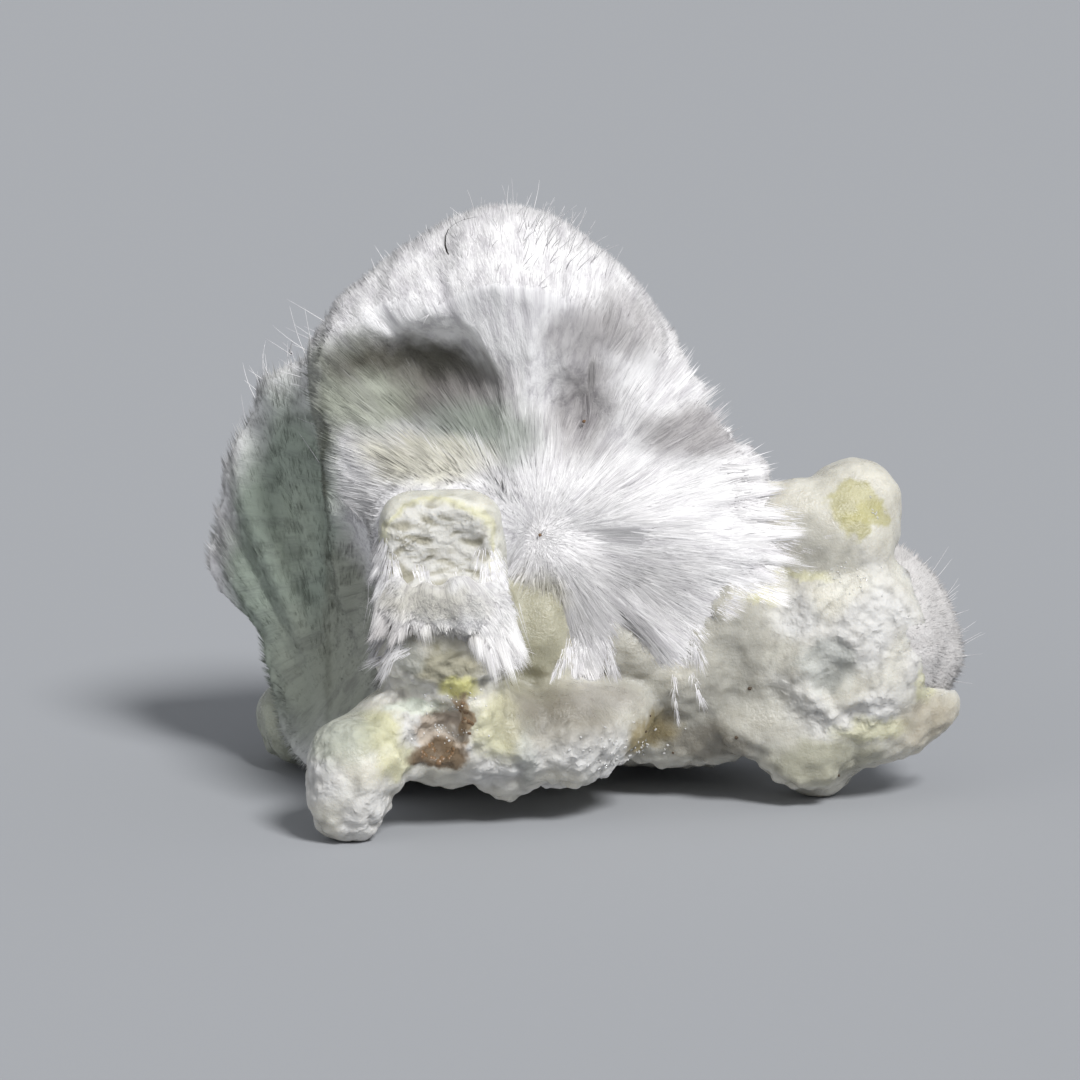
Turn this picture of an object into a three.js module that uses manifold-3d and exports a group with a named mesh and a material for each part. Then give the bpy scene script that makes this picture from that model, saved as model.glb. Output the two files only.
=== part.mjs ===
// Okenite puffballs on the crust of chalcedony that they grew on: a loose hand specimen about 35 mm wide.
// Millimetres, +Z up. The broken face of the big ball looks along -Y. The pieces are laid out with X and Y
// measured from the point where that ball's fibres start, with the ground at Z = 0, and the whole specimen
// is then moved so that the origin is under the middle of its box.
import * as THREE from 'three';
import { mergeVertices } from 'three/addons/utils/BufferGeometryUtils.js';
import { ImprovedNoise } from 'three/addons/math/ImprovedNoise.js';
import Module from 'manifold-3d';

const wasm = await Module();
wasm.setup();

// Driving dimensions.
const BOX_MIDDLE = [1.85, 4.05]; // X and Y of the middle of the specimen's box, in the layout's own axes
const SEAT_GAP = 0.4; // how far a ball's seat in the crust stands off it
const COAT_STARTS = 8.0; // a dome carries spines only above this height, clear of its seat
const SPINE_HEIGHT = 0.8; // the tallest spines of a ball's coat
const BUNDLE_HEIGHT = 0.5; // how far the fibre bundles stand out of a broken face
const BUNDLE_WAVES = [[5, 1.2], [13, 2.5]]; // the bundles' waves round a face, and their change outwards
const CORE_DEPTH = 0.45; // where a coat's spines point away from, as a share of the dome's depth
const GRAINS = [[2.3, 1], [0.95, 0.6]]; // the crust's roughness, as the sizes and strengths of its swells
const GROUND = { side: 80, depth: 20 }; // the block that cuts the feet off level

// The big ball: a rim of [degrees, radius, setback] round its broken face, the back of its dome, and the
// hollows (depth above zero) and swellings (depth below zero) of that face, as
// [across, up, half length, half width, turn in degrees, depth].
const BIG_BALL = {
  centre: new THREE.Vector3(0, 0, 12.6),
  outward: new THREE.Vector3(0, -1, 0),
  rays: 56,
  faceRings: 10,
  domeRings: 8,
  domeDepth: 13.0,
  polePoint: [-0.5, 1.5],
  seed: 3,
  rim: [
    [-140, 10.2, 3.2], [-122, 8.4, 3.4], [-108, 6.6, 3.2], [-97, 5.8, 1.8], [-87, 6.2, 0.6], [-76, 7.1, 0.1],
    [-66, 7.5, 0.0], [-56, 5.4, 1.6], [-47, 8.4, 0.2], [-40, 8.8, 0.0], [-31, 7.9, 0.6], [-23, 8.6, 0.2],
    [-14, 9.3, 0.6], [-6, 10.3, 0.8], [3, 10.4, 1.2], [11, 10.9, 1.8], [19, 10.3, 1.8], [25, 9.2, 2.0],
    [33, 8.9, 2.2], [38, 9.6, 2.3], [47, 9.7, 2.5], [57, 10.5, 2.7], [67, 11.5, 2.9], [79, 12.6, 3.1],
    [90, 14.0, 3.2], [101, 14.3, 3.3], [115, 13.8, 3.4], [128, 13.6, 3.4], [140, 13.2, 3.3], [149, 12.3, 3.2],
    [160, 10.7, 3.1], [171, 10.0, 3.1], [187, 9.7, 3.1], [203, 10.0, 3.1],
  ],
  relief: [
    [-4.9, 7.0, 4.2, 1.7, -20, 2.7], // the shaded scoop under the crest
    [1.4, 5.4, 1.7, 2.2, 0, 1.9], // the scoop right of the central ridge
    [3.4, 8.0, 2.2, 1.0, -40, 0.9], // the hollow under the right shoulder
    [-3.1, 3.9, 1.8, 1.3, 0, 1.0],
    [-3.6, -4.6, 4.6, 3.2, 0, 3.4], // where the column and the olive crust grew over the face
    [-1.2, 4.4, 4.2, 0.55, 101, -1.1], // the central ridge
    [-5.2, 10.6, 5.0, 1.5, 26, -1.9], // the crest, left part
    [0.4, 11.3, 4.0, 1.7, -12, -1.7], // the crest, right part
    [4.8, 7.9, 1.4, 0.8, -45, -0.9],
    [6.4, 4.9, 1.4, 1.1, -30, -0.9],
    [8.6, 3.2, 1.0, 0.8, -20, -0.8],
    [5.6, 0.6, 4.0, 1.2, -4, -1.7], // the bundles that run right over the crust
    [1.9, -4.6, 2.8, 0.9, -68, -1.9], // the left hanging fan
    [5.3, -4.3, 2.8, 0.9, -42, -1.9], // the right hanging fan
    [-7.0, 3.8, 3.0, 0.9, 8, -0.7], // the pale band above the column
  ],
};

// The second ball, behind and left of the big one. Its broken face looks left and forward.
const REAR_BALL = {
  centre: new THREE.Vector3(-9.5, 3.5, 3.2),
  outward: new THREE.Vector3(-0.745, -0.663, 0.08),
  rays: 32,
  faceRings: 6,
  domeRings: 6,
  domeDepth: 10.8,
  polePoint: [-2.5, 7.5],
  seed: 11,
  rim: [
    [-20, 4.5, 0.5], [13, 6.0, 0.3], [45, 9.0, 0.2], [66, 12.5, 0.2], [85, 15.2, 0.4], [98, 16.6, 0.6],
    [108, 16.7, 0.8], [117, 16.0, 0.8], [125, 14.9, 0.7], [133, 13.9, 0.7], [142, 13.0, 0.7],
    [151, 11.6, 0.6], [153.5, 9.6, 0.5], [150, 7.6, 0.4], [152, 6.2, 0.3], [166, 5.0, 0.3],
    [191, 4.1, 0.3], [235, 2.9, 0.3], [300, 3.3, 0.3],
  ],
  relief: [
    [-4.6, 7.4, 5.5, 1.5, 120, 1.1],
    [-2.0, 9.6, 5.0, 0.8, 100, 0.7],
    [-6.6, 8.8, 4.5, 0.8, 127, -0.8],
    [-3.6, 5.0, 3.0, 0.7, 130, -0.6],
    [-6.8, 5.2, 2.2, 0.7, 142, -0.5],
  ],
};

// The lumps of the crust, as { at, size (half lengths), boxy (2 is round), rough, detail }.
const LUMPS = [
  { at: [-8.1, -5.2, 3.4], size: [2.4, 2.3, 2.2], rough: 0.4 }, // left front foot
  { at: [-8.4, -5.6, 2.0], size: [1.9, 1.9, 2.4], rough: 0.3 }, // its toe
  { at: [-6.2, -3.4, 4.4], size: [2.3, 2.8, 2.2], rough: 0.3, detail: 1 },
  { at: [-4.3, -2.8, 12.4], size: [2.95, 3.7, 3.2], boxy: 4, rough: 0.35, detail: 3 }, // broken column
  { at: [-4.2, -2.7, 8.9], size: [3.2, 3.5, 3.2], boxy: 3, rough: 0.5, detail: 1 },
  { at: [-4.0, -2.4, 4.9], size: [3.3, 3.5, 3.1], rough: 0.5, detail: 3 },
  { at: [-1.3, -2.2, 3.8], size: [2.3, 2.9, 2.6], rough: 0.6 },
  { at: [1.2, -1.6, 3.9], size: [2.5, 2.8, 2.5], rough: 0.6 },
  { at: [3.2, -0.4, 4.3], size: [1.9, 2.4, 1.8], rough: 0.5 },
  { at: [-0.3, 0.9, 8.0], size: [2.5, 2.7, 3.2], rough: 0.3 }, // olive crust under the fibres' start
  { at: [6.6, 2.6, 7.0], size: [4.0, 3.2, 3.6], rough: 0.12 }, // smooth translucent middle
  { at: [6.4, 3.6, 3.7], size: [3.8, 2.8, 2.3], boxy: 3, rough: 0.25 },
  { at: [10.3, 2.8, 7.2], size: [2.7, 3.2, 4.6], rough: 0.2 },
  { at: [13.7, 2.4, 7.1], size: [4.0, 3.4, 4.7], boxy: 2.4, rough: 0.5, detail: 3 }, // right lump
  { at: [14.2, 2.8, 3.6], size: [3.6, 2.9, 2.3], rough: 0.4, detail: 1 },
  { at: [12.5, 3.2, 1.7], size: [2.0, 1.9, 2.0], rough: 0.3, detail: 1 }, // right foot
  { at: [13.9, 2.6, 13.1], size: [2.6, 2.3, 2.4], rough: 0.45 }, // knob
  { at: [12.7, 2.5, 11.5], size: [2.4, 2.3, 2.9], rough: 0.3, detail: 1 },
  { at: [17.1, 3.2, 4.6], size: [2.2, 2.4, 1.9], rough: 0.4 }, // right end
  { at: [-2.6, 6.0, 3.4], size: [6.2, 5.9, 2.8], boxy: 2.6, rough: 0.5 }, // base under the balls
  { at: [5.5, 7.4, 4.2], size: [6.2, 5.2, 3.4], boxy: 2.6, rough: 0.6 },
  { at: [4.6, 10.4, 2.1], size: [3.0, 2.6, 2.3], rough: 0.4, detail: 1 }, // rear foot
  { at: [-10.6, 9.4, 2.1], size: [2.7, 3.3, 2.2], rough: 0.3 }, // left rear foot
  { at: [-7.4, 9.4, 2.6], size: [3.0, 3.0, 2.0], rough: 0.3, detail: 1 },
];

// Hollows that are cut out of the crust, as lumps.
const PITS = [
  { at: [-4.3, -6.0, 4.8], size: [1.35, 1.7, 1.5], rough: 0.3 }, // the brown pocket
  { at: [-3.6, -6.6, 8.6], size: [1.3, 2.0, 0.75], rough: 0.2, detail: 1 }, // the hollow under the front tuft
  { at: [-4.4, -7.1, 12.9], size: [2.1, 1.3, 2.1], boxy: 3, rough: 0.5 }, // the column's sunk end
  { at: [12.8, -1.5, 6.5], size: [1.4, 0.9, 1.2], rough: 0.2, detail: 1 },
  { at: [12.3, -1.1, 4.5], size: [0.75, 0.7, 0.5], rough: 0.1, detail: 1 },
  { at: [14.0, -1.0, 4.7], size: [0.6, 0.7, 0.55], rough: 0.1, detail: 1 },
];

// The small closed ball on the right end of the crust.
const SIDE_BALL = { at: [15.7, 4.1, 7.2], size: [3.3, 3.4, 4.6], turn: -17, detail: 3, spine: 0.45 };

// The front tuft: fibre bundles that fan out over the hollow, as [start, tip, thickness].
const TUFT_CORE = { at: [-4.2, -6.0, 10.3], size: [3.1, 1.1, 0.95], rough: 0.3 };
const TUFT_BUNDLES = [
  [[-6.2, -5.8, 10.4], [-7.5, -6.6, 9.2], 0.9],
  [[-5.6, -6.0, 10.4], [-6.6, -7.1, 9.0], 1.0],
  [[-4.9, -6.0, 10.4], [-5.4, -7.4, 9.3], 1.0],
  [[-4.0, -6.0, 10.5], [-4.1, -7.4, 9.4], 1.1],
  [[-3.2, -6.0, 10.5], [-3.0, -7.3, 9.2], 1.0],
  [[-3.2, -6.0, 10.6], [-1.9, -7.0, 8.7], 1.2],
  [[-3.0, -5.9, 10.8], [-1.6, -6.5, 7.5], 1.1],
  [[-2.7, -5.9, 10.8], [-1.0, -6.4, 7.7], 1.0],
  [[-2.4, -5.9, 10.9], [-0.4, -6.1, 8.3], 1.0],
];

// Bristles of long fibres that stand up out of a ball's rim between two angles. They reach past the coat, and
// lean back by a share of that reach.
const BRISTLE = { width: 0.42, root: 1.6, spread: 2.2 };
const TOP_BRISTLES = { count: 12, first: 66, last: 106, reach: 1.2, lean: 0.25 };
const CREST_BRISTLES = { count: 7, first: 112, last: 150, reach: 0.5, lean: 0.2 };
const REAR_BRISTLES = { count: 12, first: 97, last: 138, reach: 2.2, lean: 0.35 };

const MATERIALS = {
  matrix: { color: 0xd9d6c8, roughness: 0.55, metalness: 0 },
  twin_puffball: { color: 0xf1f0ee, roughness: 0.8, metalness: 0 },
  side_puffball: { color: 0xf3f2ef, roughness: 0.85, metalness: 0 },
  front_tuft: { color: 0xf5f4f2, roughness: 0.75, metalness: 0 },
};

const perlin = new ImprovedNoise();
const vector = (numbers) => new THREE.Vector3(...numbers);
const radians = THREE.MathUtils.degToRad;

// A repeatable number from 0 to 1 for a pair of counters.
function chance(first, second) {
  const wave = Math.sin(first * 12.9898 + second * 78.233) * 43758.5453;
  return wave - Math.floor(wave);
}

function toSolid(geometry) {
  geometry.deleteAttribute('normal');
  geometry.deleteAttribute('uv');
  const merged = mergeVertices(geometry, 1e-5);
  return new wasm.Manifold(new wasm.Mesh({
    numProp: 3,
    vertProperties: new Float32Array(merged.attributes.position.array),
    triVerts: new Uint32Array(merged.index.array),
  }));
}

function toMesh(name, solid) {
  const { vertProperties, triVerts } = solid.getMesh();
  const geometry = new THREE.BufferGeometry();
  geometry.setAttribute('position', new THREE.BufferAttribute(vertProperties, 3));
  geometry.setIndex(new THREE.BufferAttribute(triVerts, 1));
  geometry.computeVertexNormals();
  const mesh = new THREE.Mesh(geometry, new THREE.MeshStandardMaterial(MATERIALS[name]));
  mesh.name = name;
  return mesh;
}

const joined = (solids) => solids.reduce((whole, next) => whole.add(next));

// How far the crust swells or shrinks at a place, from about -1 to 1. Neighbouring lumps roughen alike.
function wanderAt(point) {
  return GRAINS.reduce((sum, [size, strength], i) => (
    sum + strength * perlin.noise(point.x / size + 7 * i, point.y / size, point.z / size)), 0);
}

// A rounded lump, or the hollow that one leaves: a ball stretched to its size, squared by its boxiness and
// roughened.
function lump({ at, size, boxy = 2, rough = 0.3, detail = 2 }) {
  const geometry = new THREE.IcosahedronGeometry(1, detail);
  const corners = geometry.attributes.position;
  for (let i = 0; i < corners.count; i += 1) {
    const way = new THREE.Vector3().fromBufferAttribute(corners, i);
    const norm = way.toArray().reduce((sum, part) => sum + Math.abs(part) ** boxy, 0) ** (1 / boxy);
    const point = way.clone().divideScalar(norm).multiply(vector(size)).add(vector(at));
    corners.setXYZ(i, ...point.addScaledVector(way, rough * wanderAt(point)).toArray());
  }
  return toSolid(geometry);
}

// How far a point of a broken face lies behind the plane of that face.
function reliefAt(relief, across, up) {
  let depth = 0;
  for (const [x, z, halfLength, halfWidth, degrees, height] of relief) {
    const [turnX, turnZ] = [Math.cos(radians(degrees)), Math.sin(radians(degrees))];
    const along = ((across - x) * turnX + (up - z) * turnZ) / halfLength;
    const aside = ((up - z) * turnX - (across - x) * turnZ) / halfWidth;
    depth += height * Math.exp(-(along * along + aside * aside));
  }
  return depth;
}

// The bundles of fibres: ridges that run out from the centre, taller towards the rim. share is the part of
// the way to the rim.
function bundleAt(across, up, share, seed) {
  const angle = Math.atan2(up, across);
  return BUNDLE_HEIGHT * Math.sqrt(share) * BUNDLE_WAVES.reduce((sum, [round, outwards], i) => (
    sum + perlin.noise(round * Math.cos(angle) + seed + 20 * i, round * Math.sin(angle), outwards * share)
  ), 0);
}

// A ball's own axes: across and up along its broken face, and back from it.
function placer({ centre, outward }) {
  const front = outward.clone().normalize();
  const right = new THREE.Vector3(0, 0, 1).cross(front).normalize();
  const upward = front.clone().cross(right);
  return (across, up, back) => centre.clone()
    .addScaledVector(right, across).addScaledVector(upward, up).addScaledVector(front, -back);
}

function rimPoints({ rim, rays }) {
  const curve = new THREE.CatmullRomCurve3(rim.map(([degrees, radius, setback]) => (
    new THREE.Vector3(radius * Math.cos(radians(degrees)), radius * Math.sin(radians(degrees)), setback)
  )), true, 'centripetal');
  return Array.from({ length: rays }, (_, ray) => curve.getPoint(ray / rays));
}

// One ring of a broken face, at a share of the way from its centre to its rim.
function faceRing(ball, rim, share, grow) {
  const place = placer(ball);
  return rim.map(({ x, y, z }) => {
    const [across, up] = [x * share, y * share];
    const sunk = z * share ** 3 + reliefAt(ball.relief, across, up) * (1 - share ** 6);
    const widen = 1 + (grow / Math.hypot(x, y)) * share ** 6;
    return place(across * widen, up * widen, sunk - bundleAt(across, up, share, ball.seed) - grow);
  });
}

// One ring of the dome behind a face, with every other point drawn out into a spine of the coat.
function domeRing(ball, rim, ring, grow) {
  const place = placer(ball);
  const [poleAcross, poleUp] = ball.polePoint;
  const core = place(poleAcross, poleUp, CORE_DEPTH * ball.domeDepth);
  const turn = 0.5 * Math.PI * ring / ball.domeRings;
  return rim.map(({ x, y, z }, ray) => {
    const widen = 1 + grow / Math.hypot(x, y);
    const across = poleAcross + (x * widen - poleAcross) * Math.cos(turn);
    const up = poleUp + (y * widen - poleUp) * Math.cos(turn);
    const point = place(across, up, z + (ball.domeDepth + grow - z) * Math.sin(turn));
    const spiny = point.z > COAT_STARTS && (ray + ring) % 2 === 0;
    const tall = spiny ? Math.min(1, ring / 3) * (0.35 + 0.65 * chance(ray, ring + ball.seed)) : 0;
    return point.addScaledVector(point.clone().sub(core).normalize(), SPINE_HEIGHT * tall);
  });
}

// A broken ball: rays fan out over the broken face to its rim, and go on over the spiny dome to the back.
// grow makes the same ball that much fatter all round, which is the shape of its seat.
function brokenBall(ball, grow = 0) {
  const { rays, faceRings, domeRings, domeDepth, polePoint } = ball;
  const place = placer(ball);
  const rim = rimPoints(ball);
  const points = [place(0, 0, reliefAt(ball.relief, 0, 0) - grow)];
  for (let ring = 1; ring <= faceRings; ring += 1) {
    points.push(...faceRing(ball, rim, ring / faceRings, grow));
  }
  for (let ring = 1; ring < domeRings; ring += 1) {
    points.push(...domeRing(ball, rim, ring, grow));
  }
  points.push(place(...polePoint, domeDepth + grow));

  const corner = (ring, ray) => 1 + (ring - 1) * rays + (ray % rays);
  const rings = faceRings + domeRings - 1;
  const faces = [];
  for (let ray = 0; ray < rays; ray += 1) {
    faces.push(0, corner(1, ray), corner(1, ray + 1));
    for (let ring = 1; ring < rings; ring += 1) {
      const [a, b] = [corner(ring, ray), corner(ring, ray + 1)];
      const [c, d] = [corner(ring + 1, ray), corner(ring + 1, ray + 1)];
      // The diagonals keep off the spines, so that each spine is a point and not part of a ridge.
      const alternate = (ray + ring + faceRings) % 2 === 0;
      faces.push(...(alternate ? [a, c, b, b, c, d] : [a, c, d, a, d, b]));
    }
    faces.push(points.length - 1, corner(rings, ray + 1), corner(rings, ray));
  }
  const geometry = new THREE.BufferGeometry().setFromPoints(points);
  geometry.setIndex(faces);
  return toSolid(geometry);
}

// One slender pointed bundle of fibres, with its base sunk in what it grows from.
function bristle(start, tip, thickness) {
  const length = start.distanceTo(tip);
  const way = tip.clone().sub(start).normalize();
  const geometry = new THREE.ConeGeometry(thickness / 2, length, 4).translate(0, length / 2, 0);
  geometry.applyQuaternion(new THREE.Quaternion().setFromUnitVectors(new THREE.Vector3(0, 1, 0), way));
  geometry.translate(...start.toArray());
  return toSolid(geometry);
}

// Long fibres that stand up out of a ball's rim.
function rimBristles(ball, { count, first, last, reach, lean }) {
  const place = placer(ball);
  const rim = new THREE.CatmullRomCurve3(ball.rim.map(vector), false, 'centripetal').getPoints(600);
  return Array.from({ length: count }, (_, i) => {
    const degrees = first + (last - first) * (i + 0.6 * chance(i, ball.seed)) / count;
    const near = rim.reduce((best, p) => (Math.abs(p.x - degrees) < Math.abs(best.x - degrees) ? p : best));
    const [turnX, turnZ] = [Math.cos(radians(degrees)), Math.sin(radians(degrees))];
    const back = near.z + BRISTLE.spread * chance(i, ball.seed + 5);
    const [inner, outer] = [near.y - BRISTLE.root, reach * (0.45 + 0.55 * chance(i, ball.seed + 9))];
    const start = place(inner * turnX, inner * turnZ, back);
    const tip = place((near.y + outer) * turnX, (near.y + outer) * turnZ, back + lean * outer);
    return bristle(start, tip, BRISTLE.width);
  });
}

// A closed ball with a coat of spines.
function spinyBall({ at, size, turn, detail, spine }, grow = 0) {
  const geometry = new THREE.IcosahedronGeometry(1, detail);
  const corners = geometry.attributes.position;
  for (let i = 0; i < corners.count; i += 1) {
    const way = new THREE.Vector3().fromBufferAttribute(corners, i);
    const [x, y, z] = way.toArray().map((part) => Math.round(part * 50)); // alike for copies of one corner
    const outwards = grow + spine * (chance(x, y + 7 * z) - 0.5);
    const point = way.clone().multiply(vector(size)).addScaledVector(way, outwards);
    point.applyAxisAngle(new THREE.Vector3(0, 1, 0), radians(turn)).add(vector(at));
    corners.setXYZ(i, ...point.toArray());
  }
  return toSolid(geometry);
}

// The tuft over the hollow: a pillow of short fibres with pointed bundles hanging from it.
function frontTuft(grow = 0) {
  const core = lump({ ...TUFT_CORE, size: TUFT_CORE.size.map((half) => half + grow) });
  return joined([core, ...TUFT_BUNDLES.map(([start, tip, thickness]) => (
    bristle(vector(start), vector(tip), thickness + 3 * grow)))]);
}

// The crust: its lumps, less its hollows, the seats of what grew on it, and all that is below the ground.
function crustWithSeats() {
  const { side, depth } = GROUND;
  const cuts = [
    ...PITS.map(lump),
    brokenBall(BIG_BALL, SEAT_GAP),
    brokenBall(REAR_BALL, SEAT_GAP),
    spinyBall(SIDE_BALL, SEAT_GAP),
    frontTuft(SEAT_GAP),
    toSolid(new THREE.BoxGeometry(side, side, depth).translate(0, 0, -depth / 2)),
  ];
  return joined(LUMPS.map(lump)).subtract(joined(cuts));
}

// The two balls that grew into each other, with their long fibres.
function twinPuffball() {
  return joined([
    brokenBall(BIG_BALL),
    brokenBall(REAR_BALL),
    ...rimBristles(BIG_BALL, TOP_BRISTLES),
    ...rimBristles(BIG_BALL, CREST_BRISTLES),
    ...rimBristles(REAR_BALL, REAR_BRISTLES),
  ]);
}

const specimen = new THREE.Group();
specimen.add(
  toMesh('matrix', crustWithSeats()),
  toMesh('twin_puffball', twinPuffball()),
  toMesh('side_puffball', spinyBall(SIDE_BALL)),
  toMesh('front_tuft', frontTuft()),
);
specimen.position.set(-BOX_MIDDLE[0], -BOX_MIDDLE[1], 0);

export default specimen;
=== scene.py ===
"""The looks of the okenite puffballs and of the chalcedony crust that they grew on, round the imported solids.

Shapes are worked out in millimetres in the layout's axes: X = 0 and Y = 0 lie under the point where the big
ball's fibres start, and Z = 0 is the ground. Each mesh is moved to the row frame, in metres, when it is made.
"""

import math

import bmesh
import bpy
import numpy as np
from mathutils import Matrix, Quaternion, Vector
from mathutils.bvhtree import BVHTree
from mathutils.kdtree import KDTree


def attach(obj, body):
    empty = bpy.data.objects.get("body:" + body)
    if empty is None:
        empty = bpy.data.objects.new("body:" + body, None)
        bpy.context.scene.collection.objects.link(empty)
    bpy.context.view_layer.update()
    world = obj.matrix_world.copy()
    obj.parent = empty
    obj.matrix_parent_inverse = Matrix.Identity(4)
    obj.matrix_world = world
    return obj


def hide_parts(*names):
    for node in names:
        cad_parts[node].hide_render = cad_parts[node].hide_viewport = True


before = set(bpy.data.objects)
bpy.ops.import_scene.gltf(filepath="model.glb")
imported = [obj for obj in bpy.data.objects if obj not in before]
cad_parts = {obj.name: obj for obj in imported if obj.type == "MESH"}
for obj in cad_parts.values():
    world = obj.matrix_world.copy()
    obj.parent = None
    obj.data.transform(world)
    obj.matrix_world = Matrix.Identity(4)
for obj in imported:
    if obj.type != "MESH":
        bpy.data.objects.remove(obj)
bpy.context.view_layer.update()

# Places in the layout, in millimetres.
MM = 0.001
LAYOUT = np.array((1.85, 4.05, 0.0))  # where the row frame's origin lies in the layout
BALL = np.array((0.0, 0.0, 12.6))  # where the big ball's fibres start
REAR = np.array((-9.5, 3.5, 3.2))  # where the rear ball's fibres start
SEAM = np.array(((-10.6, 3.6, 19.5), (-9.3, 4.6, 5.0), (-5.5, 12.3, 10.0)))  # a plane between the two
SIDE = np.array((15.2, 3.6, 7.0))  # the middle of the small closed ball
TUFT = np.array((-4.6, -4.2, 13.4))  # where the front tuft's fibres fan out from

VOXEL = {"twin_puffball": 0.205, "matrix": 0.158, "side_puffball": 0.2, "front_tuft": 0.11}
FIBRE_WIDTH = 0.05
GROUND_GAP = 0.1
ROOT_DEPTH = 0.8  # how far behind its brush a fibre starts
TUCK = 0.35  # how far the crust's edge runs in under the balls
LEAN_REACH = 0.5  # how near another fibre's root must be for a fibre to lean to it

# Swells that close the creases between the balls and the crust that they grew on, as (centre, half sizes).
SWELLS = {
    "twin_puffball": [
        ((2.0, -0.3, 9.5), (1.3, 0.9, 2.4)),
        ((6.0, 0.4, 9.6), (2.2, 0.8, 2.0)),
        ((5.6, 1.0, 11.6), (5.4, 1.9, 2.3)),
        ((0.7, 0.0, 11.3), (2.2, 1.2, 1.6)),
    ],
    "matrix": [
        ((0.2, -0.3, 8.5), (2.3, 1.2, 2.4)),
        ((13.4, 1.5, 12.2), (2.6, 1.7, 2.2)),
        ((3.9, 1.2, 7.8), (2.9, 2.0, 2.3)),
        ((4.5, 0.6, 7.9), (1.6, 1.6, 2.0)),
        ((-4.0, -4.9, 9.0), (1.7, 1.3, 1.2)),
        ((8.6, 1.1, 9.3), (2.6, 1.7, 2.6)),
        ((11.7, 2.0, 12.4), (2.4, 1.7, 2.5)),
        ((-4.5, -5.6, 11.1), (2.7, 1.2, 0.7)),
        ((10.0, 1.0, 3.7), (2.4, 1.5, 1.6)),
        ((11.9, 0.8, 2.6), (2.2, 1.3, 1.9)),
    ],
    "side_puffball": [
        ((15.7, 1.7, 7.2), (2.4, 2.0, 3.3)),
    ],
}
# The silk that flares out round the column's end, from its lip to the ball's face: (middle, half width, half height).
FLARE = (((-4.5, -5.1, 12.9), 3.05, 2.9), ((-4.0, 2.5, 13.8), 4.7, 4.7))
FLARE_STEPS = 10
COLUMN = np.array(((-4.5, 12.6), (2.9, 2.9)))  # the middle of the column's end and its half sizes, in X, Z

# Sprays of fibres that lie on the crust, each as (root, tip, half width at the root, half width at the tip) in X, Z.
SPRAYS = [
    ((0.9, 12.3), (2.6, 9.0), 0.9, 0.8),
    ((2.1, 9.6), (0.8, 6.7), 0.3, 0.18),
    ((2.1, 9.6), (1.4, 5.5), 0.3, 0.14),
    ((2.2, 9.6), (1.9, 5.9), 0.3, 0.2),
    ((2.3, 9.6), (2.6, 6.2), 0.3, 0.22),
    ((2.4, 9.6), (3.5, 5.8), 0.3, 0.16),
    ((4.8, 11.4), (6.3, 9.0), 0.35, 0.5),
    ((5.9, 9.8), (7.1, 7.1), 0.35, 0.22),
    ((5.4, 9.8), (6.2, 6.5), 0.12, 0.1),
    ((6.0, 8.6), (7.2, 5.2), 0.12, 0.07),
    ((6.0, 6.6), (6.1, 3.9), 0.08, 0.05),
    ((5.2, 11.2), (8.0, 9.7), 0.5, 0.7),
    ((5.2, 10.8), (6.8, 8.4), 0.4, 0.5),
    ((7.9, 11.4), (8.9, 10.4), 0.4, 0.3),
    ((8.2, 11.6), (10.2, 10.7), 0.5, 0.35),
    ((8.8, 11.7), (10.9, 11.1), 0.4, 0.3),
    ((9.8, 12.3), (12.3, 12.5), 0.25, 0.12),
    ((2.8, 10.2), (3.8, 9.8), 0.25, 0.15),
    ((-6.7, 10.3), (-7.5, 8.2), 0.5, 0.3),
    ((-6.2, 9.0), (-6.9, 7.3), 0.3, 0.15),
    ((-5.7, 8.6), (-7.1, 7.9), 0.2, 0.12),
    ((-2.0, 9.6), (-0.9, 7.9), 0.5, 0.3),
    ((-6.9, 13.2), (-7.1, 9.9), 0.4, 0.7),
    ((-6.0, 11.2), (-6.2, 10.0), 0.3, 0.5),
    ((-2.0, 12.6), (-1.7, 10.1), 0.35, 0.5),
    ((-2.8, 11.0), (-2.5, 10.0), 0.3, 0.5),
    ((-5.2, 12.2), (-5.0, 10.8), 0.35, 0.4),
    ((-3.6, 12.0), (-3.4, 10.8), 0.3, 0.35),
    ((-2.3, 12.9), (-2.1, 10.8), 0.45, 0.5),
    ((-6.6, 12.6), (-6.6, 10.8), 0.4, 0.5),
    ((8.9, 13.6), (11.0, 13.3), 0.5, 0.4),
    ((9.3, 14.3), (10.9, 14.4), 0.4, 0.3),
    ((9.0, 12.6), (11.6, 12.2), 0.5, 0.4),
    ((8.8, 11.6), (11.5, 11.1), 0.5, 0.35),
    ((8.2, 10.9), (10.4, 9.9), 0.5, 0.35),
]
# The tuft's brushes, each from its root to its tip.
TUFT_BRUSHES = [
    ((-2.7, -6.0, 11.0), (-1.9, -7.0, 7.3)),
    ((-2.4, -5.9, 11.0), (-1.2, -6.9, 7.4)),
    ((-2.2, -5.9, 10.9), (-0.6, -6.6, 8.0)),
    ((-3.0, -6.0, 10.8), (-2.6, -7.0, 8.3)),
    ((-5.4, -6.2, 11.0), (-5.0, -7.0, 9.2)),
    ((-6.4, -6.0, 10.9), (-7.2, -6.7, 9.2)),
]

# Brushes that break up the fan's right end, each from its root to its tip.
FAN_BRUSHES = [
    ((8.2, 0.0, 15.2), (10.2, 0.6, 15.4)),
    ((8.6, -0.2, 14.4), (10.9, 0.6, 14.6)),
    ((8.6, -0.4, 13.6), (11.4, 0.7, 13.3)),
    ((8.8, -0.4, 12.6), (12.1, 0.3, 12.6)),
    ((8.8, -0.4, 12.0), (11.6, 0.2, 11.3)),
    ((8.4, -0.4, 11.3), (10.8, 0.0, 10.4)),
    ((8.0, -0.4, 10.8), (10.2, 0.0, 9.6)),
    ((7.4, -0.5, 10.4), (9.0, -0.1, 8.9)),
]

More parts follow.
